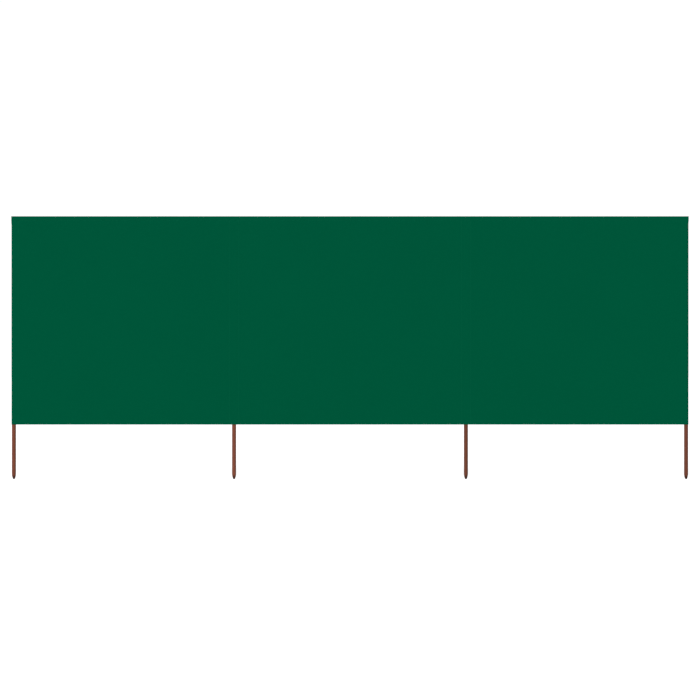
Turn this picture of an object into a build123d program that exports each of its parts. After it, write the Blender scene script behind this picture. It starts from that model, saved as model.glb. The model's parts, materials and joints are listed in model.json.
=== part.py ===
from build123d import *
import os
from itertools import accumulate
from math import acos, atan2, cos, degrees, hypot, radians, sin, sqrt

# Beach windbreak: one length of cloth in three bays on four pointed wooden poles.
# All sizes are in millimetres.
# The origin is on the flat tip of pole 1. X runs along the cloth and Z is up.
# The face cloth is on the -Y side of the poles and the sewn pockets are on the +Y side.

# Cloth
end_bay = 1301
middle_bay = 1370
cloth_height = 1230
layer = 0.6
hem_depth = 25

# Poles
pole_radius = 12
tip_radius = 5
point_length = 34
top_chamfer = 2
pole_below_cloth = 322

# Pockets
pocket_spread = 12
seam_width = 6
pocket_closing = 27
slack = 0.3

# The gap that lets a bay swing past the edge of the pocket it hangs from
fold_clearance = 0.5

# The hem is two more layers of cloth, and passes between the face cloth and the poles
hem_thickness = 2 * layer
hem_back = -(pole_radius + slack)
cloth_back = hem_back - hem_thickness
cloth_face = cloth_back - layer
wrap_radius = -cloth_face

# Heights
hem_top = pole_below_cloth + hem_depth
cloth_top = pole_below_cloth + cloth_height
hem_line = cloth_top - hem_depth
pole_length = hem_line - pocket_closing
pocket_end = pole_length + slack

# Widths of a pocket, from its pole's axis
pocket_mouth = pole_radius + pocket_spread
pocket_reach = pocket_mouth + seam_width
fold_radius = hypot(pocket_reach, cloth_face) + fold_clearance

pole_places = list(accumulate((end_bay, middle_bay, end_bay), initial=0))
last_pole = pole_places[-1]


def slab(x, y, z):
    """A flat piece of cloth between two limits each way."""
    size = (x[1] - x[0], y[1] - y[0], z[1] - z[0])
    return Pos(x[0], y[0], z[0]) * Box(*size, align=Align.MIN)


def pole():
    """A round pole, turned to a blunt point at its foot and chamfered at its top."""
    shoulder = (pole_radius, point_length)
    tip = (tip_radius, 0)
    point = TangentArc(shoulder, tip, tangent=(0, -1))
    shaft = Polyline(
        shoulder,
        (pole_radius, pole_length - top_chamfer),
        (pole_radius - top_chamfer, pole_length),
        (0, pole_length),
        (0, 0),
        tip,
    )
    return revolve(Plane.XZ * make_face(point + shaft), Axis.Z)


def past_fold(back):
    """Where the next bay's cloth starts, from the pole, for a piece whose back is at that depth."""
    return sqrt(fold_radius**2 - back**2)


def wall_turn(radius):
    """The angle round the pole, in degrees, at which a pocket's cloth leaves it for the face cloth."""
    mouth_distance = hypot(pocket_mouth, cloth_back)
    return degrees(atan2(cloth_back, pocket_mouth) + acos(radius / mouth_distance))


def wall_points(radius, base, turn):
    """The ends of a pocket's straight wall: on the pole's side, and where it meets the base."""
    side = (radius * cos(radians(turn)), radius * sin(radians(turn)))
    foot = ((radius - base * sin(radians(turn))) / cos(radians(turn)), base)
    return side, foot


def pocket_half(radius, base, turn):
    """The filled outline of a pocket's +X half, from the base up over the pole."""
    side, foot = wall_points(radius, base, turn)
    edges = Polyline(side, foot, (0, base), (0, radius))
    return make_face(edges + CenterArc((0, 0), radius, turn, 90 - turn))


def strip_half(inner, outer, base, turn, flange):
    """The +X half of a pocket's cloth, with the flange that is sewn down."""
    foot = wall_points(inner, base, turn)[1]
    flange_size = (pocket_reach - foot[0], flange)
    sewn = Pos(*foot) * Rectangle(*flange_size, align=Align.MIN)
    return pocket_half(outer, base, turn) - pocket_half(inner, base, turn) + sewn


def half_disc(radius):
    """The -X half of a disc round the pole's axis."""
    return Circle(radius) & (Pos(-radius, 0) * Rectangle(2 * radius, 2 * radius))


def raise_by_zones(section):
    """Extrudes a pocket's cloth: over the bottom hem, up its step, and on to the pole's top."""
    zones = (
        (pole_below_cloth, hem_top, section(hem_back, 0)),
        (hem_top, hem_top + layer, section(cloth_back, hem_thickness)),
        (hem_top + layer, pocket_end, section(cloth_back, 0)),
    )
    return Part() + [extrude(Pos(0, 0, low) * face, high - low) for low, high, face in zones]


def drawn_in(outline, point):
    """A closing: an outline at the pole's top, drawn in to one point under the hem."""
    return loft([Pos(0, 0, pocket_end) * outline, Vertex(*point)])


def strip_closing_half(inner, turn):
    """The +X half of a pocket's closing: a hollow peak over the pole, and the strip sewn flat beside it."""
    crest = cloth_back + layer
    peak = drawn_in(pocket_half(inner + layer, cloth_back, turn), (0, crest, hem_line))
    sewn = slab((0, pocket_reach), (cloth_back, crest), (pocket_end, hem_line))
    hollow = drawn_in(pocket_half(inner, cloth_back, turn), (0, cloth_back, hem_line - layer))
    return peak + sewn - hollow


def folded_in(radius, *ridge):
    """The -X half of an end pocket's closing, solid: the wrap drawn in to a fold at the cloth's end."""
    fold = (-radius, -radius, ridge[0][2])
    middle = Polyline((0, -radius, pocket_end), (0, radius, pocket_end), *ridge, close=True)
    return drawn_in(half_disc(radius), fold) + loft([make_face(middle), Vertex(*fold)])


def inner_pocket():
    """A strip sewn down on both sides of an inner pole and closed over its top."""
    inner = pole_radius + slack
    turn = wall_turn(inner)

    def section(base, step):
        half = strip_half(inner, inner + layer, base, turn, step + layer)
        return half + mirror(half, Plane.YZ)

    closing = strip_closing_half(inner, turn)
    return raise_by_zones(section) + closing + mirror(closing, Plane.YZ)


def end_pocket():
    """The cloth's end, wrapped round the outside of the first pole, with its hem folded inside."""
    inner = -cloth_back
    turn = wall_turn(inner)

    def section(base, step):
        half = strip_half(-base, wrap_radius, base, turn, step + wrap_radius + base)
        return half + half_disc(wrap_radius) - half_disc(-base)

    fold = folded_in(wrap_radius, (0, cloth_back + layer, hem_line), (0, cloth_face, hem_line))
    hollow = folded_in(inner, (0, cloth_back, hem_line - layer))
    return raise_by_zones(section) + strip_closing_half(inner, turn) + (fold - hollow)


def bay_cloth(number):
    """The face cloth and hems of one bay, from the fold at its left pole to the fold at its right."""
    left, right = pole_places[number - 1 : number + 1]
    first, last = number == 1, right == last_pole
    panel_start = left if first else left + past_fold(cloth_back)
    hem_start = left if first else left + past_fold(hem_back)
    end = right if last else right + pocket_reach
    front = (cloth_face, cloth_back)
    back = (cloth_back, hem_back)
    panel = slab((panel_start, end), front, (pole_below_cloth, cloth_top))
    top_start = left - wrap_radius if first else hem_start
    top_end = right + wrap_radius if last else end
    if first:
        panel += slab((top_start, left), front, (hem_line, cloth_top))
    if last:
        panel += slab((right, top_end), front, (hem_line, cloth_top))
    return {
        f"panel_{number}": panel,
        f"top_hem_{number}": slab((top_start, top_end), back, (hem_line, cloth_top)),
        f"bottom_hem_{number}": slab((hem_start, end), back, (pole_below_cloth, hem_top)),
    }


def windbreak():
    """Every piece of the windbreak, by name."""
    first_pocket = end_pocket()
    middle_pocket = inner_pocket()
    pockets = (first_pocket, middle_pocket, middle_pocket, mirror(first_pocket, Plane.YZ))
    pieces = {}
    for number, (place, pocket) in enumerate(zip(pole_places, pockets), start=1):
        pieces[f"pole_{number}"] = Pos(place) * pole()
        pieces[f"pole_pocket_{number}"] = Pos(place) * pocket
    for number in range(1, len(pole_places)):
        pieces |= bay_cloth(number)
    return pieces


os.makedirs("parts", exist_ok=True)
for name, piece in windbreak().items():
    export_step(piece, f"parts/{name}.step")
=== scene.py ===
import json
from math import acos, atan, atan2, cos, hypot, pi, radians, sin, sqrt, tan

import bpy
import numpy as np
from bpy.props import FloatProperty, FloatVectorProperty, IntProperty, PointerProperty
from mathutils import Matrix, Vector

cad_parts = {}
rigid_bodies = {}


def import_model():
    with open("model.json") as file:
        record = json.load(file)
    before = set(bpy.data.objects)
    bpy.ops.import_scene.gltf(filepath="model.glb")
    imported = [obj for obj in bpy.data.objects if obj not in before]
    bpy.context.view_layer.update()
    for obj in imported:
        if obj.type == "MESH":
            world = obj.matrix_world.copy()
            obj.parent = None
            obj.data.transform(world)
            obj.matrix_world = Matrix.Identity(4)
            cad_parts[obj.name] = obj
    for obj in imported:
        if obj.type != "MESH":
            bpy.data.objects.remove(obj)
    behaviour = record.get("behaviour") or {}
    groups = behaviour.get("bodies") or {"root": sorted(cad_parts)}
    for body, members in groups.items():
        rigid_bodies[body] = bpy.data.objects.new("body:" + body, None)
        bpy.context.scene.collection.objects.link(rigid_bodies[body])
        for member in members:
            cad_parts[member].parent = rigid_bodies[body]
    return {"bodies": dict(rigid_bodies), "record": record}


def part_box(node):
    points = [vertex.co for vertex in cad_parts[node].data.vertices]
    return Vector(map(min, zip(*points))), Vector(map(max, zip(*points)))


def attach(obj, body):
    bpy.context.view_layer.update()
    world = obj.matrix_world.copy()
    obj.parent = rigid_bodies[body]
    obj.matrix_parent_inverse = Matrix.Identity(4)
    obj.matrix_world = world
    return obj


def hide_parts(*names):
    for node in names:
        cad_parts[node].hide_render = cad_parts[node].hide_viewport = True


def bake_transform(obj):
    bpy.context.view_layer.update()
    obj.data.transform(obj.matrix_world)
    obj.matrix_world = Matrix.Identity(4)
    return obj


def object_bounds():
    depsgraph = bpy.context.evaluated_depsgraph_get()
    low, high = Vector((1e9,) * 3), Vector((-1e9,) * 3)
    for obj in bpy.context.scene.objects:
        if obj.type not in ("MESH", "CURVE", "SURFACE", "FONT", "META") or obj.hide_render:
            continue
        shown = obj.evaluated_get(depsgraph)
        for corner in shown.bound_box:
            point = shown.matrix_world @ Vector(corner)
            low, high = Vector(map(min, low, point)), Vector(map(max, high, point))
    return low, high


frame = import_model()
cad_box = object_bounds()

bl_info = {
    "name": "Beach windbreak",
    "version": (1, 0, 0),
    "blender": (4, 5, 0),
    "location": "3D View > Sidebar > Windbreak",
    "description": "Cloth, sewn pockets, stitching and turned poles for a beach windbreak in three bays",
    "category": "Add Mesh",
}

# All sizes are in metres. These come from the frame.
BAYS = tuple(frame["bodies"])
POLE_X = [mount["pos_m"][0] for mount in frame["record"]["mounts"]]
LAST_POLE = POLE_X[-1]
CLOTH_FACE, CLOTH_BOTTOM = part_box("panel_2")[0].yz
CLOTH_BACK, CLOTH_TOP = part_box("panel_2")[1].yz
HEM_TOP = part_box("bottom_hem_2")[1].z
HEM_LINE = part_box("top_hem_2")[0].z
HEM_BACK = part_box("top_hem_2")[1].y
POLE_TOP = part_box("pole_2")[1].z
POLE_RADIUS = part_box("pole_2")[1].x - POLE_X[1]
POCKET_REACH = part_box("panel_1")[1].x - POLE_X[1]

# The cloth's layers lie one thickness apart, and each is followed along its middle.
LAYER = CLOTH_BACK - CLOTH_FACE
FACE_MIDDLE = CLOTH_FACE + LAYER / 2
WRAP_RADIUS = -FACE_MIDDLE
STRIP_RADIUS = -HEM_BACK + LAYER / 2

# Pockets: their seams, their slack over a pole's top, the rounding beside a seam, the edge that is turned
# under, and the step off the bottom hem
SEAM_WIDTH = 0.006
POCKET_MOUTH = POCKET_REACH - SEAM_WIDTH
POCKET_SLACK = 0.0003
POCKET_END = POLE_TOP + POCKET_SLACK
MOUTH_ROUND = 0.004
TURNED_UNDER = 0.005
STEP_START = 0.0004
STEP_LENGTH = 0.009

# How a pocket's walls wave up its length: how far, the share, length and phase of each wave, and how far
# above the bottom hem they are whole
WALL_WAVE = 0.0008
WALL_WAVES = ((0.6, 0.137, 1), (0.4, 0.0613, 2))
WAVE_START = 0.06

# A pocket's closed top: the height and number of its gathers, how far from the sewn cloth they are whole,
# and how softly the top starts to draw in
GATHER = 0.0006
GATHERS = 9
GATHER_FADE = 0.006
DRAWN_ROUND = 0.14

# How many steps there are across a pocket's sewn edge, the cloth past an outer pole, and each bay
FLANGE_STEPS = 3
END_STEPS = 4
BAY_STEPS = (208, 212, 200)

# How far behind its sewn edge a strip follows the face cloth's ripples, wholly and at all
STRIP_FOLLOWS = (0.0015, 0.0035)

# How far from a strip's pole its weave starts, so that it doesn't run on from the face cloth
STRIP_WEAVE = 0.1

# Each long ripple of the stretched cloth: its share of the height, its way, its length and its phase
RIPPLES = (
    (0.45, (0.93, 0.36), 0.37, 1.1),
    (0.35, (0.81, -0.59), 0.53, 0.3),
    (0.20, (0.99, 0.12), 0.171, 2.0),
)

# Puckers along the hems and along the pockets' seams: from one to the next, how much and over what length
# that varies, and how far they reach
HEM_PUCKERS = (0.0268, 2.1, 0.157, 0.013)
SEAM_PUCKERS = (0.0241, 1.9, 0.143, 0.007)

# The pockets' seams pucker a little less than the hems
SEAM_PUCKER_SHARE = 0.8

# How far from a pole's axis the ripples and the puckers start, and are whole
RIPPLE_RISE = (0.04, 0.30)
HEM_PUCKER_RISE = (0.018, 0.034)
SEAM_PUCKER_RISE = (0.017, 0.024)

# Seams: where they run, how far from the cloth's edges they stop, where the upright ones start and end, and
# the stitches that are sewn back beside their ends
SEAM_LINE = POCKET_MOUTH + SEAM_WIDTH / 2
HEM_SEAM = 0.0025
STITCH_EDGE = 0.003
SEAM_START = CLOTH_BOTTOM + STITCH_EDGE
FACE_SEAM_END = HEM_LINE - 0.001
POCKET_SEAM_END = HEM_LINE - 0.002
TACK_STITCHES = 4
TACK_OFFSET = 0.0007

# A stitch: its height and how far it stands out, by its width, and its length, by its pitch
STITCH_HEIGHT = 0.8
STITCH_LIFT = 0.1
STITCH_OVERLAP = 1.02

# Double hems: how far short of the fold their inner layer ends, and how far past them the rows are finer
HEM_TUCK = 0.001
HEM_MARGIN = 0.05

# The weave: how far its threads sway, how round a thread is from side to side and over its crown, and how
# fine the slubs of the warp and the weft are
WEAVE_SWAY = 0.0006
THREAD_SIDE = 0.75
THREAD_CROWN = 0.35
WARP_SLUBS = (1900, 17, 1)
WEFT_SLUBS = (13, 1900, 1)

# The wood: how fine its grain, its rings and its pores are, where the pores start in their noise, and how
# close together the lathe's marks are
GRAIN = (520, 520, 7)
RINGS = (150, 150, 2.6)
PORES = (1900, 1900, 60)
PORE_LIMIT = 0.62
LATHE_MARKS = 5200.0

# The darker foot of a pole: how fine its uneven edge is, how far up it reaches, and how dark it is
DARK_TIP_EDGE = (160, 160, 60)
DARK_TIP_HEIGHT = 0.016
DARK_TIP_START = 0.002
DARK_TIP_TONE = 0.34

# The turned poles: the rounding of a tip's rim, the height of the next ring, and how light each stain is
TIP_ROUND = 0.0008
POINT_START = 0.004
POLE_TINTS = (1.06, 1.19, 0.81, 0.89)

# Above these angles between faces, in degrees, an edge stays sharp
SHARP_IN_CLOTH = 50
SHARP_IN_WOOD = 32

# How the soft lights are turned: the key from the front, a little to the left, and the other from behind
KEY_TURN = (radians(52), 0, radians(-16))
BACK_TURN = (radians(58), 0, radians(-142))
LIGHT_SPREAD = radians(30)

# How far the camera sees, the pale floor's size, and how bright the sky looks beyond it
CAMERA_REACH = 200
FLOOR_SIZE = 120
SKY_SEEN = 1.02

FRONT = (0, -1, 0)
BACK = (0, 1, 0)


class ClothSettings(bpy.types.PropertyGroup):
    """The cloth and its sewing"""

    green: FloatVectorProperty(
        name="Cloth colour", description="The dyed cloth's own colour", subtype="COLOR", size=3,
        default=(0.0, 0.0785, 0.0352), min=0, max=1,
    )
    thread_green: FloatVectorProperty(
        name="Thread colour", description="The sewing thread's colour", subtype="COLOR", size=3,
        default=(0.010, 0.140, 0.068), min=0, max=1,
    )
    thickness: FloatProperty(
        name="Cloth thickness", description="How thick one layer of cloth is shown",
        default=0.0005, min=0.0001, max=0.0006, unit="LENGTH", precision=5,
    )
    thread_spacing: FloatProperty(
        name="Thread spacing", description="From one thread of the weave to the next",
        default=0.00048, min=0.0001, max=0.002, unit="LENGTH", precision=5,
    )
    ripple: FloatProperty(
        name="Ripple", description="Height of the long tension ripples between the poles",
        default=0.0011, min=0, max=0.004, unit="LENGTH", precision=5,
    )
    pucker: FloatProperty(
        name="Pucker", description="Height of the puckers along the seams",
        default=0.00022, min=0, max=0.001, unit="LENGTH", precision=5,
    )
    stitch_length: FloatProperty(
        name="Stitch length", description="From one needle hole to the next",
        default=0.0035, min=0.002, max=0.008, unit="LENGTH", precision=4,
    )
    stitch_width: FloatProperty(
        name="Stitch width", description="Width of the sewing thread where it shows",
        default=0.00058, min=0.0002, max=0.001, unit="LENGTH", precision=5,
    )


class PoleSettings(bpy.types.PropertyGroup):
    """The turned wooden poles"""

    radius: FloatProperty(
        name="Radius", description="Half of a pole's diameter",
        default=POLE_RADIUS, min=0.005, max=0.03, unit="LENGTH", precision=4,
    )
    tip_radius: FloatProperty(
        name="Tip radius", description="Half of the blunt tip's diameter",
        default=0.005, min=0.002, max=0.01, unit="LENGTH", precision=4,
    )
    point_length: FloatProperty(
        name="Point length", description="How far up the turned point reaches",
        default=0.034, min=0.01, max=0.1, unit="LENGTH", precision=3,
    )
    chamfer: FloatProperty(
        name="Top chamfer", description="Chamfer round the top end",
        default=0.002, min=0, max=0.005, unit="LENGTH", precision=4,
    )
    sides: IntProperty(
        name="Sides", description="Facets round a pole", default=72, min=24, max=128,
    )
    stain: FloatVectorProperty(
        name="Stain", description="The wood stain's colour", subtype="COLOR", size=3,
        default=(0.154, 0.0385, 0.0165), min=0, max=1,
    )


class StudioSettings(bpy.types.PropertyGroup):
    """The camera, the lights and the floor"""

    distance: FloatProperty(
        name="Camera distance", description="From the camera to the face cloth",
        default=16, min=5, max=60, unit="LENGTH",
    )
    view_width: FloatProperty(
        name="View width", description="Width of the picture at the face cloth",
        default=4.133, min=1, max=12, unit="LENGTH", precision=4,
    )
    view_height: FloatProperty(
        name="View height", description="Height of the picture's centre above the ground",
        default=0.7624, min=0, max=3, unit="LENGTH", precision=4,
    )
    key: FloatProperty(
        name="Key light", description="Strength of the soft light from the front", default=3.0, min=0,
    )
    back: FloatProperty(
        name="Back light", description="Strength of the soft light from behind", default=2.4, min=0,
    )
    sky: FloatProperty(name="Sky", description="Strength of the light from all round", default=0.3, min=0)
    floor_glow: FloatProperty(
        name="Floor glow", description="How brightly the floor glows in the picture", default=0.9, min=0,
    )
    floor_light: FloatProperty(
        name="Floor light", description="How brightly the floor lights the windbreak", default=0.3, min=0,
    )


def smooth(value, low, high):
    """0 below low, 1 above high, and an even curve between them."""
    share = np.clip((np.asarray(value, float) - low) / (high - low), 0, 1)
    return share * share * (3 - 2 * share)


def stations(*runs):
    """Places along a line: each run is its start, its end and how many steps it has."""
    places = [np.linspace(start, end, steps, endpoint=False) for start, end, steps in runs]
    return np.concatenate([*places, [runs[-1][1]]])


def arc(centre, radius, start, end, steps):
    """Points on an arc, from one angle to another, without the first."""
    turns = np.linspace(start, end, steps + 1)[1:]
    return np.stack([centre[0] + radius * np.cos(turns), centre[1] + radius * np.sin(turns)], axis=1)


def run(start, end, steps):
    """Points on a straight run, without the first."""
    return np.linspace(start, end, steps + 1)[1:]


def lengths(path):
    """The distance along a path to each of its points."""
    return np.concatenate([[0], np.cumsum(np.linalg.norm(np.diff(path, axis=0), axis=1))])


def cells(lines, places):
    """Which two lines each place lies between, and how far it is from the first to the second."""
    cell = np.clip(np.searchsorted(lines, places) - 1, 0, len(lines) - 2)
    share = (places - lines[cell]) / (lines[cell + 1] - lines[cell])
    return cell, share[:, None]


class Sheet:
    """A piece of cloth: the lines across and up its flat cut, and where each crossing lies once sewn.

    Facing is the row and column of one crossing and the way its outer side faces.
    """

    def __init__(self, across, up, points, facing):
        self.across, self.up, self.points = across, up, points
        by_up, by_across = np.gradient(points, up, across, axis=(0, 1))
        normals = np.cross(by_across, by_up)
        normals /= np.maximum(np.linalg.norm(normals, axis=2, keepdims=True), 1e-12)
        row, column, outward = facing
        self.turned = normals[row, column] @ np.array(outward) < 0
        self.normals = -normals if self.turned else normals

    def at(self, across, up, height):
        """Where places on the flat cut lie, raised that far above the side that faces out."""
        column, right = cells(self.across, across)
        row, above = cells(self.up, up)

        def between(grid):
            """A grid's values at the places, from the crossings round them."""
            low = grid[row, column] * (1 - right) + grid[row, column + 1] * right
            high = grid[row + 1, column] * (1 - right) + grid[row + 1, column + 1] * right
            return low * (1 - above) + high * above

        return between(self.points) + between(self.normals) * height[:, None]


def from_pole(x):
    """The distance along the cloth to the nearest pole's axis."""
    return np.min([np.abs(x - place) for place in POLE_X], axis=0)


def puckers(along, away, pitch, sway, sway_length, reach):
    """Puckers along a seam, unevenly spaced, that die out away from it."""
    wave = np.sin(2 * pi * along / pitch + sway * np.sin(2 * pi * along / sway_length))
    return wave * np.exp(-away / reach)


def relief(x, z):
    """How far the stretched cloth lies behind its plane: long ripples, and puckers along the seams."""
    cloth = bpy.context.scene.windbreak_cloth
    away = from_pole(x)
    ripple = 0
    for share, way, length, phase in RIPPLES:
        ripple = ripple + share * np.sin(2 * pi * (way[0] * x + way[1] * z) / length + phase)
    from_hem = np.minimum(np.abs(z - HEM_LINE - HEM_SEAM), np.abs(z - HEM_TOP + HEM_SEAM))
    at_hem = puckers(x, from_hem, *HEM_PUCKERS) * smooth(away, *HEM_PUCKER_RISE)
    at_seam = puckers(z, np.abs(away - SEAM_LINE), *SEAM_PUCKERS) * smooth(away, *SEAM_PUCKER_RISE)
    pucker = cloth.pucker * (at_hem + SEAM_PUCKER_SHARE * at_seam)
    return ripple * (cloth.ripple * smooth(away, *RIPPLE_RISE)) + pucker


def hem_fold(edge, line, way):
    """A double hem, from the face cloth on: depth behind the face and height. Way is 1 up and -1 down."""
    top = edge - way * 1.5 * LAYER
    turn = line + way * LAYER
    over = np.linspace(0, pi, 8)
    under = np.linspace(0, pi, 6)
    outer = np.stack([LAYER * (1 - np.cos(over)), top + way * LAYER * np.sin(over)], axis=1)
    back = run((2 * LAYER, top), (2 * LAYER, turn), 5)
    folded = np.stack([
        LAYER * (1.5 + 0.5 * np.cos(under)),
        turn - way * LAYER / 2 * np.sin(under),
    ], axis=1)
    inner = run((LAYER, turn), (LAYER, top - way * HEM_TUCK), 4)
    return np.concatenate([outer, back, folded[1:], inner])


def upright(with_top):
    """The cloth's lines from bottom to top: distance up the cut, depth behind the face, and height."""
    low = hem_fold(CLOTH_BOTTOM, HEM_TOP, -1)[::-1]
    below = low[-1, 1] - lengths(low[::-1])[::-1]
    if not with_top:
        return below[:-1], low[:-1]
    high = hem_fold(CLOTH_TOP, HEM_LINE, 1)
    above = high[0, 1] + lengths(high)
    heights = stations(
        (low[-1, 1], HEM_TOP, 7),
        (HEM_TOP, HEM_TOP + HEM_MARGIN, 8),
        (HEM_TOP + HEM_MARGIN, HEM_LINE - HEM_MARGIN, 88),
        (HEM_LINE - HEM_MARGIN, HEM_LINE, 8),
        (HEM_LINE, high[0, 1], 7),
    )
    face = np.stack([np.zeros(len(heights)), heights], axis=1)
    return np.concatenate([below[:-1], heights, above[1:]]), np.concatenate([low[:-1], face, high[1:]])


def bay_sheet(number):
    """One bay of cloth with both its hems, from the seam of the pocket before it to the seam after it."""
    left, right = POLE_X[number - 1 : number + 1]
    steps = BAY_STEPS[number - 1]
    if number == 1:
        across = stations((left - WRAP_RADIUS, left, END_STEPS), (left, right + POCKET_REACH, steps))
    elif number == len(BAYS):
        across = stations((left + POCKET_REACH, right, steps), (right, right + WRAP_RADIUS, END_STEPS))
    else:
        across = stations((left + POCKET_REACH, right + POCKET_REACH, steps))
    up, profile = upright(with_top=True)
    x, depth = np.meshgrid(across, profile[:, 0])
    z = np.meshgrid(across, profile[:, 1])[1]
    points = np.stack([x, FACE_MIDDLE + depth + relief(x, z), z], axis=2)
    return Sheet(across, up, points, (len(up) // 2, len(across) // 2, FRONT))


def half_pocket(radius, foot):
    """The right half of a pocket's section, from over the pole to the seam's edge, and where it waves."""
    slope = atan2(foot, POCKET_MOUTH) + acos(radius / hypot(POCKET_MOUTH, foot))
    heading = pi / 2 - slope
    room = MOUTH_ROUND * tan(heading / 2)
    leaves = np.array([radius * cos(slope), radius * sin(slope)])
    corner = np.array([POCKET_MOUTH, foot])
    wall_end = corner - room * np.array([cos(heading), -sin(heading)])
    centre = (POCKET_MOUTH + room, foot + MOUTH_ROUND)
    over = arc((0, 0), radius, pi / 2, slope, 8)
    wall = run(leaves, wall_end, 8)
    mouth = arc(centre, MOUTH_ROUND, -pi / 2 - heading, -pi / 2, 5)
    flange = run((POCKET_MOUTH + room, foot), (POCKET_REACH - LAYER / 2, foot), FLANGE_STEPS)
    wave = np.sin(pi * run(0, 1, len(wall)))
    wave = np.concatenate([np.zeros(len(over)), wave, np.zeros(len(mouth) + len(flange))])
    return np.concatenate([over, wall, mouth, flange]), wave


def strip_section(foot):
    """A pocket strip's section from edge to edge, both edges turned under, and where it waves."""
    half, wave = half_pocket(STRIP_RADIUS, foot)
    centre = (POCKET_REACH - LAYER / 2, foot - LAYER / 2)
    turned = arc(centre, LAYER / 2, pi / 2, -pi / 2, 5)
    under = run(turned[-1], (POCKET_REACH - TURNED_UNDER, foot - LAYER), 2)
    right = np.concatenate([half, turned, under])
    wave = np.concatenate([wave, np.zeros(len(right) - len(wave))])
    left = right[::-1] * (-1, 1)
    return np.concatenate([left, [(0, STRIP_RADIUS)], right]), np.concatenate([wave[::-1], [0], wave])


def wrap_section(foot):
    """The cloth's end from an outer pole's front, round outside it to the seam, and where it waves."""
    half, wave = half_pocket(WRAP_RADIUS, foot)
    outside = arc((0, 0), WRAP_RADIUS, -pi / 2, -3 * pi / 2, 26)
    path = np.concatenate([[(0, -WRAP_RADIUS)], outside, half])
    return path, np.concatenate([np.zeros(1 + len(outside)), wave])


def strip_flat(path, foot):
    """Where a strip's section lies once it is drawn in flat over the pole's top."""
    share = lengths(path)
    sewn = np.abs(path[:, 0]) > POCKET_MOUTH
    inside = np.where(~sewn)[0]
    first, last = inside[0] - 1, inside[-1] + 1
    flat = path.copy()
    part = (share[first:last] - share[first]) / (share[last] - share[first])
    flat[first:last, 0] = path[first, 0] + part * (path[last, 0] - path[first, 0])
    flat[first:last, 1] = foot
    return flat


def wrap_flat(path, foot):
    """Where a wrap's section lies once it is folded flat at the cloth's end, over the pole's top."""
    share = lengths(path)
    last = len(path) - 1 - FLANGE_STEPS
    edge = WRAP_RADIUS - LAYER / 2
    folded = np.concatenate([
        [(0, -WRAP_RADIUS)], run((0, -WRAP_RADIUS), (-edge, -WRAP_RADIUS), 8),
        arc((-edge, -WRAP_RADIUS + LAYER / 2), LAYER / 2, -pi / 2, -3 * pi / 2, 6),
        run((-edge, foot), path[last], 24),
    ])
    along = lengths(folded)
    wanted = share[:last] / share[last] * along[-1]
    flat = path.copy()
    flat[:last] = np.stack([np.interp(wanted, along, folded[:, k]) for k in (0, 1)], axis=1)
    return flat


def drawn(z):
    """How much of a pocket's form is left at a height: 1 on the pole, and 0 where it is sewn flat."""
    share = np.clip((z - POCKET_END) / (HEM_LINE - POCKET_END), 0, 1)
    soft = DRAWN_ROUND
    return 1 - (sqrt(share * share + soft * soft) - soft) / (sqrt(1 + soft * soft) - soft)


def pocket_rows(z, foot, lift, section, flat_of, phase):
    """A pocket's section at each height, as it lies over the hem, on the pole and over the pole's top."""
    rows = []
    for height in z:
        raised = foot + lift * (1 - float(smooth(height, HEM_TOP + STEP_START, HEM_TOP + STEP_LENGTH)))
        path, wave = section(raised)
        form = drawn(height)
        slope = np.gradient(path, axis=0)
        slope /= np.linalg.norm(slope, axis=1, keepdims=True)
        outward = np.stack([-slope[:, 1], slope[:, 0]], axis=1)
        if outward[len(outward) // 2] @ path[len(path) // 2] < 0:
            outward = -outward
        loose = 0
        for share, length, times in WALL_WAVES:
            loose += share * sin(2 * pi * height / length + times * phase)
        loose *= float(smooth(height, HEM_TOP, HEM_TOP + WAVE_START))
        path = path + outward * (wave * WALL_WAVE * loose)[:, None]
        if form < 1:
            share = lengths(path) / lengths(path)[-1]
            gather = GATHER * 4 * form * (1 - form) * np.sin(2 * pi * GATHERS * share + phase)
            gather *= smooth(np.abs(path[:, 1] - raised), 0, GATHER_FADE)
            path = form * path + (1 - form) * flat_of(path, raised) + outward * gather[:, None]
        rows.append((path, outward))
    return rows


def pocket_heights(bottom):
    """The heights of a pocket's lines, closer together at the step over the hem and over the pole's top."""
    return stations(
        (bottom, HEM_TOP, 7),
        (HEM_TOP, HEM_TOP + STEP_LENGTH, 6),
        (HEM_TOP + STEP_LENGTH, POCKET_END, 118),
        (POCKET_END, HEM_LINE, 16),
    )


def strip_sheet(number):
    """The strip that makes an inner pole's pocket."""
    place = POLE_X[number - 1]
    foot = CLOTH_BACK + 1.5 * LAYER
    z = pocket_heights(CLOTH_BOTTOM + LAYER / 2)
    rows = pocket_rows(z, foot, HEM_BACK - CLOTH_BACK, strip_section, strip_flat, number)
    path = np.array([row[0] for row in rows])
    across = lengths(strip_section(foot)[0])
    x = place + path[:, :, 0]
    heights = np.repeat(z[:, None], len(across), axis=1)
    near, far = STRIP_FOLLOWS
    near_face = smooth(-path[:, :, 1], -(foot + far), -(foot + near))
    points = np.stack([x, path[:, :, 1] + near_face * relief(x, heights), heights], axis=2)
    return Sheet(across, z, points, (len(z) // 2, len(across) // 2, BACK))


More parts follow.
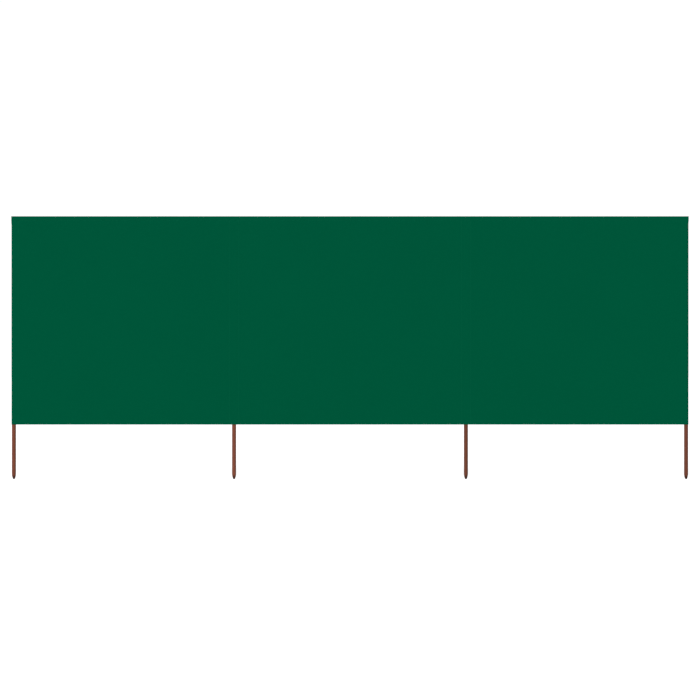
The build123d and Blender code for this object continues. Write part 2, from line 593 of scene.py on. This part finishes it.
def wrap_sheet(number):
    """The cloth's end, wrapped round an outer pole with its bottom hem inside it."""
    place = POLE_X[number - 1]
    side = 1 if number == 1 else -1
    foot = CLOTH_BACK + LAYER / 2
    below, hem = upright(with_top=False)
    upper = pocket_heights(CLOTH_BOTTOM + 1.5 * LAYER)
    up = np.concatenate([below, upper])
    depth = np.concatenate([hem[:, 0], np.zeros(len(upper))])
    z = np.concatenate([hem[:, 1], upper])
    lift = 2 * (HEM_BACK - CLOTH_BACK)
    rows = pocket_rows(z, foot, lift, wrap_section, wrap_flat, number)
    path = np.array([section - outward * inward for (section, outward), inward in zip(rows, depth)])
    across = lengths(wrap_section(foot)[0])
    x = place + side * path[:, :, 0]
    heights = np.repeat(z[:, None], len(across), axis=1)
    on_flange = np.repeat((across > across[-1] - SEAM_WIDTH)[None, :], len(z), axis=0)
    points = np.stack([x, path[:, :, 1] + on_flange * relief(x, heights), heights], axis=2)
    return Sheet(across, up, points, (len(up) // 2, 0, FRONT))


def pocket_sheet(number):
    """A pole's pocket, and whether it is a wrap round an outer pole."""
    outer = number in (1, len(POLE_X))
    return wrap_sheet(number) if outer else strip_sheet(number), outer


def deselect():
    """Leaves nothing selected."""
    bpy.ops.object.select_all(action="DESELECT")


def only(piece):
    """Makes one piece the selected and active one."""
    deselect()
    piece.select_set(True)
    bpy.context.view_layer.objects.active = piece


def select_faces(piece, chosen):
    """Goes into edit mode with only the chosen faces selected."""
    only(piece)
    bpy.ops.object.mode_set(mode="EDIT")
    bpy.ops.mesh.select_mode(type="FACE")
    bpy.ops.mesh.select_all(action="DESELECT")
    bpy.ops.object.mode_set(mode="OBJECT")
    piece.data.polygons.foreach_set("select", chosen)
    bpy.ops.object.mode_set(mode="EDIT")


def finish_edges(piece, degrees_apart):
    """Shades a piece smooth, with its sharper edges kept."""
    only(piece)
    bpy.ops.object.shade_smooth_by_angle(angle=radians(degrees_apart))


def coat(piece, material):
    """Gives a piece its one material."""
    piece.data.materials.clear()
    piece.data.materials.append(material)


def lay(name, sheet, material, map_across, left_out=None):
    """Cuts a flat grid of cloth, lays each crossing where the sheet has it, and gives it its thickness."""
    deselect()
    columns, rows = len(sheet.across), len(sheet.up)
    bpy.ops.mesh.primitive_grid_add(x_subdivisions=columns - 1, y_subdivisions=rows - 1, size=1)
    piece = bpy.context.object
    piece.name = piece.data.name = name
    mesh = piece.data
    flat = np.empty(len(mesh.vertices) * 3)
    mesh.vertices.foreach_get("co", flat)
    # The grid's places as shares of its width and height
    flat = flat.reshape(-1, 3) + 0.5
    column = np.rint(flat[:, 0] * (columns - 1)).astype(int)
    row = np.rint(flat[:, 1] * (rows - 1)).astype(int)
    mesh.vertices.foreach_set("co", sheet.points[row, column].ravel())
    corner = np.empty(len(mesh.loops), int)
    mesh.loops.foreach_get("vertex_index", corner)
    cut = np.stack([map_across(sheet.across)[column], sheet.up[row]], axis=1)[corner]
    mesh.uv_layers.active.name = "Cut"
    mesh.uv_layers["Cut"].uv.foreach_set("vector", cut.astype(np.float32).ravel())
    mesh.update()
    if sheet.turned:
        select_faces(piece, np.ones(len(mesh.polygons), bool))
        bpy.ops.mesh.flip_normals()
        bpy.ops.object.mode_set(mode="OBJECT")
    if left_out is not None:
        centre = np.empty(len(mesh.polygons) * 3)
        mesh.polygons.foreach_get("center", centre)
        select_faces(piece, left_out(*centre.reshape(-1, 3).T))
        bpy.ops.mesh.delete(type="FACE")
        bpy.ops.object.mode_set(mode="OBJECT")
    thick = piece.modifiers.new("Thickness", "SOLIDIFY")
    thick.thickness = bpy.context.scene.windbreak_cloth.thickness
    thick.offset = 0
    thick.use_even_offset = False
    only(piece)
    bpy.ops.object.modifier_apply(modifier=thick.name)
    finish_edges(piece, SHARP_IN_CLOTH)
    coat(piece, material)
    return piece


def body_of_pole(number):
    """The body that carries a pole."""
    return BAYS[max(number - 2, 0)]


def hang(piece, number):
    """Attaches the first bay's cloth or stitching to its body, and bakes any other bay's placement into its
    mesh.
    """
    if number == 1:
        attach(piece, BAYS[0])
        return
    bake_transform(piece)


def feed(tree, made, inputs):
    """Sets a node's inputs, or links them where a socket is given."""
    for name, value in inputs.items():
        if isinstance(value, bpy.types.NodeSocket):
            tree.links.new(value, made.inputs[name])
        else:
            made.inputs[name].default_value = value


def node(tree, kind, inputs=None, **settings):
    """Adds a shader node with its settings and its inputs."""
    made = tree.nodes.new(kind)
    for name, value in settings.items():
        setattr(made, name, value)
    feed(tree, made, inputs or {})
    return made


def maths(tree, operation, *values):
    """The result of one arithmetic step."""
    return node(tree, "ShaderNodeMath", dict(enumerate(values)), operation=operation).outputs[0]


def ramp(tree, value, gain, base):
    """A value times its gain, on top of a base."""
    return maths(tree, "MULTIPLY_ADD", value, gain, base)


def stretched(tree, vector, scale):
    """A vector multiplied along each axis."""
    made = node(tree, "ShaderNodeVectorMath", {0: vector, 1: scale}, operation="MULTIPLY")
    return made.outputs[0]


def noise(tree, vector, scale, detail=2.0, roughness=0.5):
    """Noise over a vector, from about 0 to 1."""
    place = stretched(tree, vector, scale)
    inputs = {"Vector": place, "Scale": 1.0, "Detail": detail, "Roughness": roughness}
    return node(tree, "ShaderNodeTexNoise", inputs).outputs[0]


def group(name, inputs, outputs):
    """A new shader node group with its named sockets, and its two end nodes."""
    tree = bpy.data.node_groups.new(name, "ShaderNodeTree")
    for socket, kind in inputs.items():
        tree.interface.new_socket(socket, in_out="INPUT", socket_type=kind)
    for socket in outputs:
        tree.interface.new_socket(socket, in_out="OUTPUT", socket_type="NodeSocketFloat")
    return tree, tree.nodes.new("NodeGroupInput"), tree.nodes.new("NodeGroupOutput")


def weave_group():
    """Plain weave over cloth coordinates: the height of its threads, and their tone, with painted shade in
    the gaps between the threads and painted light on their crowns.
    """
    sockets = {"Cut": "NodeSocketVector", "Threads": "NodeSocketFloat"}
    tree, given, made = group("Plain weave", sockets, ("Height", "Tone"))
    cut, threads = given.outputs["Cut"], given.outputs["Threads"]
    sway = node(tree, "ShaderNodeTexNoise", {"Vector": cut, "Scale": 55.0, "Detail": 2.0}).outputs["Color"]
    sway = stretched(tree, sway, (WEAVE_SWAY,) * 3)
    swayed = node(tree, "ShaderNodeVectorMath", {0: cut, 1: sway}, operation="ADD").outputs[0]
    scaled = node(tree, "ShaderNodeVectorMath", {0: swayed, "Scale": threads}, operation="SCALE").outputs[0]
    split = node(tree, "ShaderNodeSeparateXYZ", {0: scaled}).outputs
    steps = maths(tree, "ADD", maths(tree, "FLOOR", split[0]), maths(tree, "FLOOR", split[1]))
    over = maths(tree, "FLOORED_MODULO", steps, 2.0)
    across = maths(tree, "ABSOLUTE", maths(tree, "SINE", maths(tree, "MULTIPLY", split[0], pi)))
    along = maths(tree, "ABSOLUTE", maths(tree, "SINE", maths(tree, "MULTIPLY", split[1], pi)))

    def thread(one, other):
        """The height of the threads that run one way, from how central a place is both ways."""
        sides = maths(tree, "POWER", one, THREAD_SIDE)
        crown = maths(tree, "POWER", other, THREAD_CROWN)
        return maths(tree, "MULTIPLY", sides, crown)

    warp, weft = thread(across, along), thread(along, across)
    height = maths(tree, "MULTIPLY_ADD", over, maths(tree, "SUBTRACT", warp, weft), weft)
    uneven = maths(tree, "ADD", noise(tree, cut, WARP_SLUBS), noise(tree, cut, WEFT_SLUBS))
    slubs = ramp(tree, uneven, gain=0.16, base=0.84)
    # Painted shade in the gaps between the threads and painted light on their crowns, from the threads'
    # height
    shade = ramp(tree, height, gain=0.34, base=0.78)
    tone = maths(tree, "MULTIPLY", slubs, shade)
    feed(tree, made, {"Height": height, "Tone": tone})
    return tree


def wood_group():
    """Turned wood over object coordinates, with its grain along Z: its tone, its streaks and its height."""
    sockets = {"Place": "NodeSocketVector"}
    tree, given, made = group("Turned wood", sockets, ("Tone", "Streak", "Height"))
    place = given.outputs["Place"]
    grain = noise(tree, place, GRAIN, detail=5.0, roughness=0.6)
    rings = noise(tree, place, RINGS)
    pores = maths(tree, "GREATER_THAN", noise(tree, place, PORES, detail=1.0), PORE_LIMIT)
    along = node(tree, "ShaderNodeSeparateXYZ", {0: place}).outputs[2]
    lathe = maths(tree, "SINE", maths(tree, "MULTIPLY", along, LATHE_MARKS))
    tone = ramp(tree, grain, gain=0.95, base=0.30)
    tone = ramp(tree, rings, gain=0.50, base=tone)
    tone = ramp(tree, pores, gain=-0.30, base=tone)
    height = ramp(tree, pores, gain=-0.5, base=grain)
    height = ramp(tree, lathe, gain=0.10, base=height)
    feed(tree, made, {"Tone": tone, "Streak": rings, "Height": height})
    return tree


def new_material(name):
    """A material with its shader, both ready to link."""
    material = bpy.data.materials.new(name)
    material.use_nodes = True
    return material, material.node_tree, material.node_tree.nodes["Principled BSDF"]


def coloured(tree, colour, tone):
    """One colour, lighter or darker by a tone."""
    made = node(tree, "ShaderNodeVectorMath", {0: colour, "Scale": tone}, operation="SCALE")
    return made.outputs[0]


def ranged(tree, value, given, wanted, **settings):
    """A value moved from one range to another, and held at its ends."""
    limits = {"From Min": given[0], "From Max": given[1], "To Min": wanted[0], "To Max": wanted[1]}
    return node(tree, "ShaderNodeMapRange", {"Value": value, **limits}, **settings).outputs[0]


def bumped(tree, height, distance, strength):
    """The normal of a surface with a height."""
    inputs = {"Height": height, "Distance": distance, "Strength": strength}
    return node(tree, "ShaderNodeBump", inputs).outputs[0]


def cloth_material(weave, name):
    """Plain woven, matt, deep green cloth."""
    settings = bpy.context.scene.windbreak_cloth
    material, tree, shader = new_material(name)
    cut = node(tree, "ShaderNodeUVMap", uv_map="Cut").outputs[0]
    inputs = {"Cut": cut, "Threads": 1 / settings.thread_spacing}
    woven = node(tree, "ShaderNodeGroup", inputs, node_tree=weave)
    cloudy = ramp(tree, noise(tree, cut, (2.3, 2.9, 1), detail=3.0), gain=0.05, base=0.975)
    # The weave's tone carries its painted shade and light into the cloth's colour
    tone = maths(tree, "MULTIPLY", woven.outputs["Tone"], cloudy)
    feed(tree, shader, {
        "Base Color": coloured(tree, list(settings.green), tone),
        "Roughness": ramp(tree, woven.outputs["Height"], gain=-0.12, base=0.92),
        "Specular IOR Level": 0.05,
        "Specular Tint": (0.0, 1.0, 0.6, 1),
        "Sheen Weight": 0.06,
        "Sheen Roughness": 0.5,
        "Sheen Tint": (0.0, 0.5, 0.25, 1),
        "Normal": bumped(tree, woven.outputs["Height"], distance=0.00012, strength=0.7),
    })
    return material


def thread_material():
    """Twisted sewing thread, a little lighter than the cloth."""
    settings = bpy.context.scene.windbreak_cloth
    material, tree, shader = new_material("sewing_thread")
    place = node(tree, "ShaderNodeTexCoord").outputs["Object"]
    twist = noise(tree, place, (2600, 2600, 2600), detail=1.0)
    tone = ramp(tree, twist, gain=0.5, base=0.75)
    feed(tree, shader, {
        "Base Color": coloured(tree, list(settings.thread_green), tone),
        "Roughness": ramp(tree, twist, gain=0.2, base=0.5),
        "Specular IOR Level": 0.12,
        "Specular Tint": (0.2, 1.0, 0.7, 1),
        "Normal": bumped(tree, twist, distance=0.0001, strength=0.5),
    })
    return material


def wood_material(wood, number, tint):
    """Stained, matt, turned wood, darker at its tip."""
    settings = bpy.context.scene.windbreak_poles
    material, tree, shader = new_material(f"stained_wood_{number}")
    place = node(tree, "ShaderNodeTexCoord").outputs["Object"]
    turned = node(tree, "ShaderNodeGroup", {"Place": place}, node_tree=wood)
    height = node(tree, "ShaderNodeSeparateXYZ", {0: place}).outputs[2]
    # Darker towards the tip, up to an uneven edge
    tip_edge = ramp(tree, noise(tree, place, DARK_TIP_EDGE), gain=DARK_TIP_HEIGHT, base=DARK_TIP_START)
    above = maths(tree, "SUBTRACT", height, tip_edge)
    tip_tone = ranged(
        tree, above, given=(0.0, DARK_TIP_HEIGHT), wanted=(DARK_TIP_TONE, 1.0), interpolation_type="SMOOTHSTEP",
    )
    tone = maths(tree, "MULTIPLY", maths(tree, "MULTIPLY", turned.outputs["Tone"], tip_tone), tint)
    warm = ranged(tree, turned.outputs["Streak"], given=(0.35, 0.65), wanted=(0.80, 1.22))
    red, green, blue = settings.stain
    mixed = node(tree, "ShaderNodeCombineXYZ", {
        0: maths(tree, "MULTIPLY", tone, red),
        1: maths(tree, "MULTIPLY", tone, green),
        2: maths(tree, "DIVIDE", maths(tree, "MULTIPLY", tone, blue), warm),
    })
    feed(tree, shader, {
        "Base Color": mixed.outputs[0],
        "Roughness": ramp(tree, turned.outputs["Tone"], gain=-0.2, base=0.85),
        "Specular IOR Level": 0.3,
        "Normal": bumped(tree, turned.outputs["Height"], distance=0.00018, strength=0.6),
    })
    return material


class WINDBREAK_OT_studio(bpy.types.Operator):
    """Sets up the camera at the photograph's view, the soft lights and the pale floor"""

    bl_idname = "windbreak.studio"
    bl_label = "Set up the studio"

    def execute(self, context):
        studio = context.scene.windbreak_studio
        context.scene.view_settings.view_transform = "Standard"
        middle = (cad_box[0].x + cad_box[1].x) / 2
        self.place_camera(context, studio, middle)
        self.soft_lights(context, studio)
        self.light_all_round(context, studio.sky)
        self.pale_floor(context, studio, middle)
        return {"FINISHED"}

    def place_camera(self, context, studio, middle):
        """A level camera in front of the cloth's middle."""
        place = (middle, CLOTH_FACE - studio.distance, studio.view_height)
        bpy.ops.object.camera_add(location=place, rotation=(pi / 2, 0, 0))
        camera = context.object
        camera.name = "photograph_view"
        camera.data.angle = 2 * atan(studio.view_width / 2 / studio.distance)
        camera.data.clip_end = CAMERA_REACH
        context.scene.camera = camera

    def soft_lights(self, context, studio):
        """The key light and the light from behind."""
        lights = {"key_light": (KEY_TURN, studio.key), "back_light": (BACK_TURN, studio.back)}
        for name, (turn, strength) in lights.items():
            bpy.ops.object.light_add(type="SUN", rotation=turn)
            light = context.object
            light.name = light.data.name = name
            light.data.energy = strength
            light.data.angle = LIGHT_SPREAD

    def light_all_round(self, context, strength):
        """A sky that is plain white to the camera, and a soft light to the windbreak."""
        world = bpy.data.worlds.new("soft_studio")
        context.scene.world = world
        world.use_nodes = True
        tree = world.node_tree
        tree.nodes.clear()
        seen = node(tree, "ShaderNodeBackground", {"Color": (1, 1, 1, 1), "Strength": SKY_SEEN})
        light = node(tree, "ShaderNodeBackground", {"Color": (1, 1, 1, 1), "Strength": strength})
        path = node(tree, "ShaderNodeLightPath")
        mixed = node(tree, "ShaderNodeMixShader", {
            0: path.outputs["Is Camera Ray"], 1: light.outputs[0], 2: seen.outputs[0],
        })
        node(tree, "ShaderNodeOutputWorld", {"Surface": mixed.outputs[0]})

    def pale_floor(self, context, studio, middle):
        """A pale floor that looks brighter to the camera than it lights the windbreak."""
        deselect()
        bpy.ops.mesh.primitive_plane_add(size=FLOOR_SIZE, location=(middle, 0, 0))
        floor = context.object
        floor.name = floor.data.name = "floor"
        material, tree, shader = new_material("pale_floor")
        speckle = noise(tree, node(tree, "ShaderNodeTexCoord").outputs["Object"], (3, 3, 3))
        pale = ramp(tree, speckle, gain=0.02, base=0.21)
        seen = node(tree, "ShaderNodeLightPath").outputs["Is Camera Ray"]
        extra = studio.floor_glow - studio.floor_light
        feed(tree, shader, {
            "Base Color": coloured(tree, (1, 1, 1), pale),
            "Roughness": 0.9,
            "Specular IOR Level": 0.0,
            "Emission Color": (1, 1, 1, 1),
            "Emission Strength": ramp(tree, seen, gain=extra, base=studio.floor_light),
        })
        coat(floor, material)


class WINDBREAK_OT_poles(bpy.types.Operator):
    """Turns the four wooden poles on a lathe profile and stains them"""

    bl_idname = "windbreak.poles"
    bl_label = "Turn the poles"

    def execute(self, context):
        wood = wood_group()
        for number, tint in enumerate(POLE_TINTS, start=1):
            pole = self.turn(context, f"turned_pole_{number}", POLE_X[number - 1])
            coat(pole, wood_material(wood, number, tint))
            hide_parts(f"pole_{number}")
            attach(pole, body_of_pole(number))
        return {"FINISHED"}

    def turn(self, context, name, x):
        """One pole, drawn up ring by ring from its tip."""
        settings = context.scene.windbreak_poles
        deselect()
        height, radius = 0.0, settings.tip_radius - TIP_ROUND
        bpy.ops.mesh.primitive_circle_add(
            vertices=settings.sides, radius=radius, fill_type="NGON", location=(x, 0, 0),
        )
        pole = context.object
        pole.name = pole.data.name = name
        bpy.ops.object.transform_apply(location=True)
        bpy.ops.object.mode_set(mode="EDIT")
        bpy.ops.mesh.select_all(action="SELECT")
        for next_height, next_radius in self.profile(settings):
            bpy.ops.mesh.extrude_region_move(TRANSFORM_OT_translate={"value": (0, 0, next_height - height)})
            share = next_radius / radius
            bpy.ops.transform.resize(value=(share, share, 1), center_override=(x, 0, next_height))
            height, radius = next_height, next_radius
        bpy.ops.mesh.select_all(action="SELECT")
        bpy.ops.mesh.normals_make_consistent(inside=False)
        bpy.ops.object.mode_set(mode="OBJECT")
        finish_edges(pole, SHARP_IN_WOOD)
        return pole

    def profile(self, settings):
        """Height and radius of each ring above the tip: rounded rim, point, shaft and chamfer."""
        radius, tip, point = settings.radius, settings.tip_radius, settings.point_length
        sweep = (point**2 + (radius - tip) ** 2) / (2 * (radius - tip))
        rings = [(TIP_ROUND, tip)]
        for height in np.linspace(POINT_START, point, 12):
            rings.append((height, radius - sweep + sqrt(sweep**2 - (point - height) ** 2)))
        rings += [(height, radius) for height in np.linspace(point, POLE_TOP - settings.chamfer, 40)[1:]]
        rings.append((POLE_TOP, radius - settings.chamfer))
        return rings


class WINDBREAK_OT_cloth(bpy.types.Operator):
    """Cuts the three bays of face cloth, each in one piece with its double hems"""

    bl_idname = "windbreak.cloth"
    bl_label = "Hang the face cloth"

    def execute(self, context):
        weave = weave_group()
        material = cloth_material(weave, "deep_green_cloth")
        for number in range(1, len(BAYS) + 1):
            sheet = bay_sheet(number)
            cloth = lay(f"bay_cloth_{number}", sheet, material, lambda across: across, self.beyond)
            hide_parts(f"panel_{number}", f"top_hem_{number}", f"bottom_hem_{number}")
            hang(cloth, number)
        return {"FINISHED"}

    def beyond(self, x, y, z):
        """The faces past the outer poles, where the wrapped pockets take over below the top hem."""
        return ((x < 0) | (x > LAST_POLE)) & (z < HEM_LINE)


class WINDBREAK_OT_pockets(bpy.types.Operator):
    """Sews a strip over each inner pole, and wraps the cloth's ends round the outer ones"""

    bl_idname = "windbreak.pockets"
    bl_label = "Sew the pole pockets"

    def execute(self, context):
        material = cloth_material(bpy.data.node_groups["Plain weave"], "deep_green_pocket_cloth")
        for number in range(1, len(POLE_X) + 1):
            sheet, outer = pocket_sheet(number)
            pocket = lay(f"sewn_pocket_{number}", sheet, material, self.threads(number, outer))
            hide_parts(f"pole_pocket_{number}")
            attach(pocket, body_of_pole(number))
        return {"FINISHED"}

    def threads(self, number, outer):
        """How the weave lies across a pocket: only a wrap's runs on from the face cloth."""
        place = POLE_X[number - 1]
        side = -1 if number == 1 else 1
        return lambda across: place + side * across if outer else place + STRIP_WEAVE + across


class WINDBREAK_OT_stitching(bpy.types.Operator):
    """Sews the lock stitches of the hems and the pocket seams, on both sides of the cloth"""

    bl_idname = "windbreak.stitching"
    bl_label = "Sew the seams"

    def execute(self, context):
        material = thread_material()
        for number in range(1, len(BAYS) + 1):
            rows = [self.row(context, *seam) for seam in self.seams(number)]
            stitching = self.gather(rows, f"stitching_{number}")
            coat(stitching, material)
            hang(stitching, number)
        return {"FINISHED"}

    def seams(self, number):
        """Each row of stitches in a bay: its sheet, its way, its start and end, and its line."""
        left, right = POLE_X[number - 1 : number + 1]
        last = number == len(BAYS)
        bay = bay_sheet(number)
        start, end = bay.across[0], bay.across[-1]
        if number == 1:
            start += STITCH_EDGE
        if last:
            end -= STITCH_EDGE
        low_start = left if number == 1 else start
        low_end = right if last else end
        top_line, low_line = HEM_LINE + HEM_SEAM, HEM_TOP - HEM_SEAM
        yield bay, "across", start, end, top_line
        yield bay, "across", low_start, low_end, low_line
        yield bay, "across", start, end, self.hem_back(CLOTH_TOP, top_line, 1)
        inner_start = left + POCKET_REACH if number == 1 else start
        yield bay, "across", inner_start, right - POCKET_REACH, self.hem_back(CLOTH_BOTTOM, low_line, -1)
        places = [right - SEAM_LINE]
        if number == 1:
            places.append(left + SEAM_LINE)
        if not last:
            places.append(right + SEAM_LINE)
        for place in places:
            yield from self.locked(bay, FACE_SEAM_END, place)
        for pole in ([1, 2] if number == 1 else [number + 1]):
            pocket, outer = pocket_sheet(pole)
            for place in self.flanges(pocket, outer):
                yield from self.locked(pocket, POCKET_SEAM_END, place)
            if outer:
                yield pocket, "across", 0, pocket.across[-1] - STITCH_EDGE, low_line

    def locked(self, sheet, end, line):
        """An upright row of stitches, with the few that are sewn back beside it at each end to lock it."""
        tack = TACK_STITCHES * bpy.context.scene.windbreak_cloth.stitch_length
        yield sheet, "up", SEAM_START, end, line
        yield sheet, "up", SEAM_START, SEAM_START + tack, line + TACK_OFFSET
        yield sheet, "up", end - tack, end, line + TACK_OFFSET

    def hem_back(self, edge, line, way):
        """How far up the cut the back of a hem lies at a height."""
        top = edge - way * 1.5 * LAYER
        return top + way * (pi * LAYER + abs(top - line))

    def flanges(self, pocket, outer):
        """How far across a pocket's cut its seams run."""
        inward = SEAM_WIDTH / 2
        if outer:
            return [pocket.across[-1] - inward]
        # The cloth turned under, and by how much half of its fold is longer than it reaches
        hidden = TURNED_UNDER + (pi - 2) / 2 * LAYER / 2
        return [hidden + inward, pocket.across[-1] - hidden - inward]

    def row(self, context, sheet, way, start, end, line):
        """A straight row of stitches made flat, then laid on its sheet."""
        cloth = context.scene.windbreak_cloth
        width, height = cloth.stitch_width, STITCH_HEIGHT * cloth.stitch_width
        count = round((end - start) / cloth.stitch_length)
        pitch = (end - start) / count
        first, length = start + pitch / 2, STITCH_OVERLAP * pitch
        if way == "up":
            place, turn = (line, first, 0), (pi / 2, 0, 0)
            size, step = (width, height, length), (0, pitch, 0)
        else:
            place, turn = (first, line, 0), (0, pi / 2, 0)
            size, step = (height, width, length), (pitch, 0, 0)
        deselect()
        bpy.ops.mesh.primitive_uv_sphere_add(
            segments=6, ring_count=3, radius=0.5, location=place, rotation=turn, scale=size,
        )
        row = context.object
        bpy.ops.object.transform_apply(location=True, rotation=True, scale=True)
        array = row.modifiers.new("Stitches", "ARRAY")
        array.count = count
        array.use_relative_offset = False
        array.use_constant_offset = True
        array.constant_offset_displace = step
        bpy.ops.object.modifier_apply(modifier=array.name)
        flat = np.empty(len(row.data.vertices) * 3)
        row.data.vertices.foreach_get("co", flat)
        across, up, raised = flat.reshape(-1, 3).T
        surface = cloth.thickness / 2 + STITCH_LIFT * width + raised
        row.data.vertices.foreach_set("co", sheet.at(across, up, surface).ravel())
        row.data.update()
        return row

    def gather(self, rows, name):
        """All the rows of a bay as one piece."""
        deselect()
        for row in rows:
            row.select_set(True)
        bpy.context.view_layer.objects.active = rows[0]
        bpy.ops.object.join()
        piece = bpy.context.object
        piece.name = piece.data.name = name
        bpy.ops.object.mode_set(mode="EDIT")
        bpy.ops.mesh.select_all(action="SELECT")
        bpy.ops.mesh.normals_make_consistent(inside=False)
        bpy.ops.object.mode_set(mode="OBJECT")
        only(piece)
        bpy.ops.object.shade_smooth()
        return piece


OPERATORS = (
    WINDBREAK_OT_studio,
    WINDBREAK_OT_poles,
    WINDBREAK_OT_cloth,
    WINDBREAK_OT_pockets,
    WINDBREAK_OT_stitching,
)


class WINDBREAK_PT_panel(bpy.types.Panel):
    """Lists the steps and the settings in the sidebar"""

    bl_label = "Beach windbreak"
    bl_space_type = "VIEW_3D"
    bl_region_type = "UI"
    bl_category = "Windbreak"

    def draw(self, context):
        for operator in OPERATORS:
            self.layout.operator(operator.bl_idname)
        scene = context.scene
        for settings in (scene.windbreak_cloth, scene.windbreak_poles, scene.windbreak_studio):
            box = self.layout.box()
            for name in settings.__annotations__:
                box.prop(settings, name)


CLASSES = (ClothSettings, PoleSettings, StudioSettings, *OPERATORS, WINDBREAK_PT_panel)


def register():
    """Adds the steps, the panel and the settings to Blender."""
    for each in CLASSES:
        bpy.utils.register_class(each)
    bpy.types.Scene.windbreak_cloth = PointerProperty(type=ClothSettings)
    bpy.types.Scene.windbreak_poles = PointerProperty(type=PoleSettings)
    bpy.types.Scene.windbreak_studio = PointerProperty(type=StudioSettings)


def unregister():
    """Takes them out again."""
    del bpy.types.Scene.windbreak_studio
    del bpy.types.Scene.windbreak_poles
    del bpy.types.Scene.windbreak_cloth
    for each in reversed(CLASSES):
        bpy.utils.unregister_class(each)


def main():
    """Makes the whole windbreak."""
    register()
    bpy.ops.windbreak.studio()
    bpy.ops.windbreak.poles()
    bpy.ops.windbreak.cloth()
    bpy.ops.windbreak.pockets()
    bpy.ops.windbreak.stitching()


if __name__ == "__main__":
    main()
